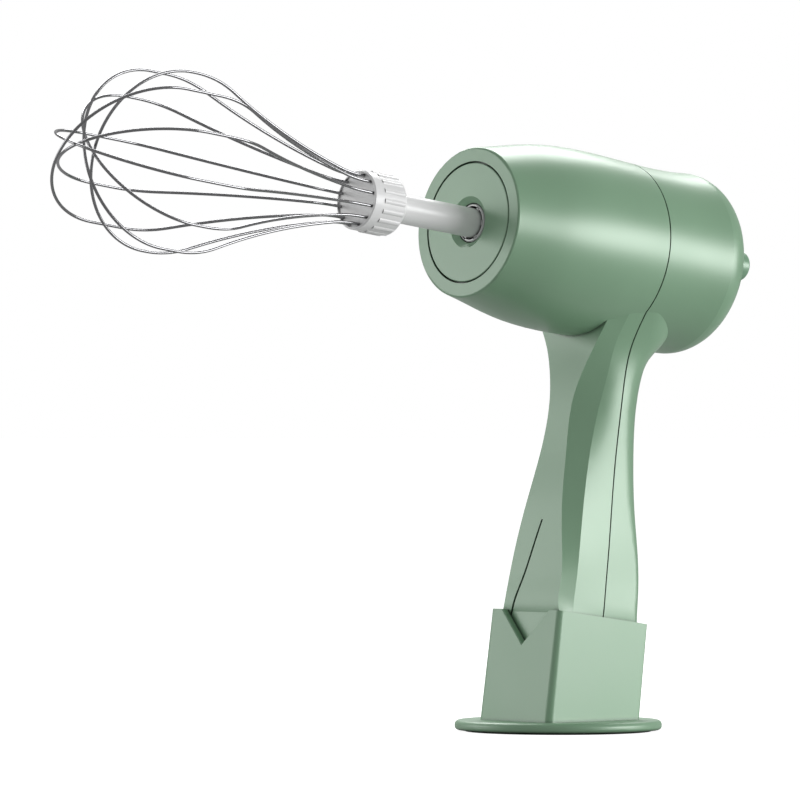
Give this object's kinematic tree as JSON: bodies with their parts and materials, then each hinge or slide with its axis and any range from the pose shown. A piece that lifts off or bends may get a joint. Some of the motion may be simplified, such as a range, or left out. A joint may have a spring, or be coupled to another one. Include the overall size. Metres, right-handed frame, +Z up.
{
  "type": "cordless hand mixer",
  "caption": "Pistol-shaped cordless hand mixer with a removable balloon whisk, leaning back in a square socket on a round stand.",
  "frame": {"origin": "centre of the stand's underside, on the surface it stands on", "axes": "+Z up, whisk pointing to -X, rear button to +X, +Y across the object"},
  "size_m": [0.2765, 0.0692, 0.216],
  "materials": {
    "stand_green": "satin",
    "shell_green": "pearl satin",
    "button_green": "satin",
    "foot_rubber": "matte",
    "zinc_screw": "zinc plated",
    "gear_nylon": "moulded",
    "dark_plastic": "moulded",
    "sintered_bronze": "sintered",
    "steel": "turned",
    "ferrite": "ground",
    "copper_winding": "enamelled",
    "cell_wrap": "shrink wrap",
    "board_laminate": "solder mask",
    "port_metal": "drawn",
    "lead_insulation": "PVC",
    "chuck_white": "moulded",
    "whisk_white": "moulded",
    "whisk_steel": "polished wire"
  },
  "bodies": {
    "stand": {"stand_disc": "stand_green", "foot_pad": "foot_rubber", "stand_socket": "stand_green", "stand_screws": "zinc_screw"},
    "mixer": {"front_shell": "shell_green", "rear_shell": "shell_green", "front_cap": "shell_green", "drive_seal": "foot_rubber", "handle_foot": "shell_green", "shell_screws": "zinc_screw", "gearbox_housing": "dark_plastic", "output_bushing": "sintered_bronze", "ring_gear": "gear_nylon", "gearbox_cover": "dark_plastic", "gearbox_screws": "zinc_screw", "motor_screws": "zinc_screw", "motor_can": "steel", "motor_magnets": "ferrite", "motor_end_cap": "dark_plastic", "battery_cell": "cell_wrap", "battery_holder": "dark_plastic", "charge_board": "board_laminate", "charge_port": "port_metal", "control_board": "board_laminate", "board_screws": "zinc_screw", "button_switch": "dark_plastic", "power_leads": "lead_insulation"},
    "button": {"rear_button": "button_green", "switch_plunger": "dark_plastic"},
    "rotor": {"motor_shaft": "steel", "armature": "copper_winding", "sun_gear": "steel"},
    "output": {"planet_carrier": "steel", "output_shaft": "steel", "drive_socket": "chuck_white"},
    "planet_1": {"planet_gear_1": "gear_nylon"},
    "planet_2": {"planet_gear_2": "gear_nylon"},
    "planet_3": {"planet_gear_3": "gear_nylon"},
    "whisk": {"whisk_stem": "whisk_white", "whisk_hub": "whisk_white", "whisk_wire_1": "whisk_steel", "whisk_wire_2": "whisk_steel", "whisk_wire_3": "whisk_steel", "whisk_wire_4": "whisk_steel", "whisk_wire_5": "whisk_steel", "whisk_wire_6": "whisk_steel"}
  },
  "joints": [
    {"name": "mixer_lift", "type": "slide", "parent": "stand", "child": "mixer", "axis": [0.1323, 0, 0.9912], "range_m": [0, 0.05]},
    {"name": "button_press", "type": "slide", "parent": "mixer", "child": "button", "axis": [-0.9912, 0, 0.1323], "range_m": [0, 0.001], "stiffness_N_per_m": 1500, "springref_m": -0.0004},
    {"name": "output_spin", "type": "hinge", "parent": "mixer", "child": "output", "pos_m": [-0.02808, 0, 0.16759], "axis": [0.9912, 0, -0.1323], "continuous": true},
    {"name": "motor_spin", "type": "hinge", "parent": "mixer", "child": "rotor", "pos_m": [0.00165, 0, 0.16362], "axis": [0.9912, 0, -0.1323], "continuous": true},
    {"name": "planet_1_spin", "type": "hinge", "parent": "output", "child": "planet_1", "pos_m": [-0.01074, 0.009, 0.16527], "axis": [0.9912, 0, -0.1323], "continuous": true},
    {"name": "planet_2_spin", "type": "hinge", "parent": "output", "child": "planet_2", "pos_m": [-0.00971, -0.0045, 0.173], "axis": [0.9912, 0, -0.1323], "continuous": true},
    {"name": "planet_3_spin", "type": "hinge", "parent": "output", "child": "planet_3", "pos_m": [-0.01177, -0.0045, 0.15755], "axis": [0.9912, 0, -0.1323], "continuous": true},
    {"name": "whisk_release", "type": "slide", "parent": "output", "child": "whisk", "axis": [-0.9912, 0, 0.1323], "range_m": [0, 0.03]}
  ],
  "couplings": [
    {"joint": "motor_spin", "follows": "output_spin", "ratio": 5},
    {"joint": "planet_1_spin", "follows": "output_spin", "ratio": -2.6667},
    {"joint": "planet_2_spin", "follows": "output_spin", "ratio": -2.6667},
    {"joint": "planet_3_spin", "follows": "output_spin", "ratio": -2.6667}
  ]
}
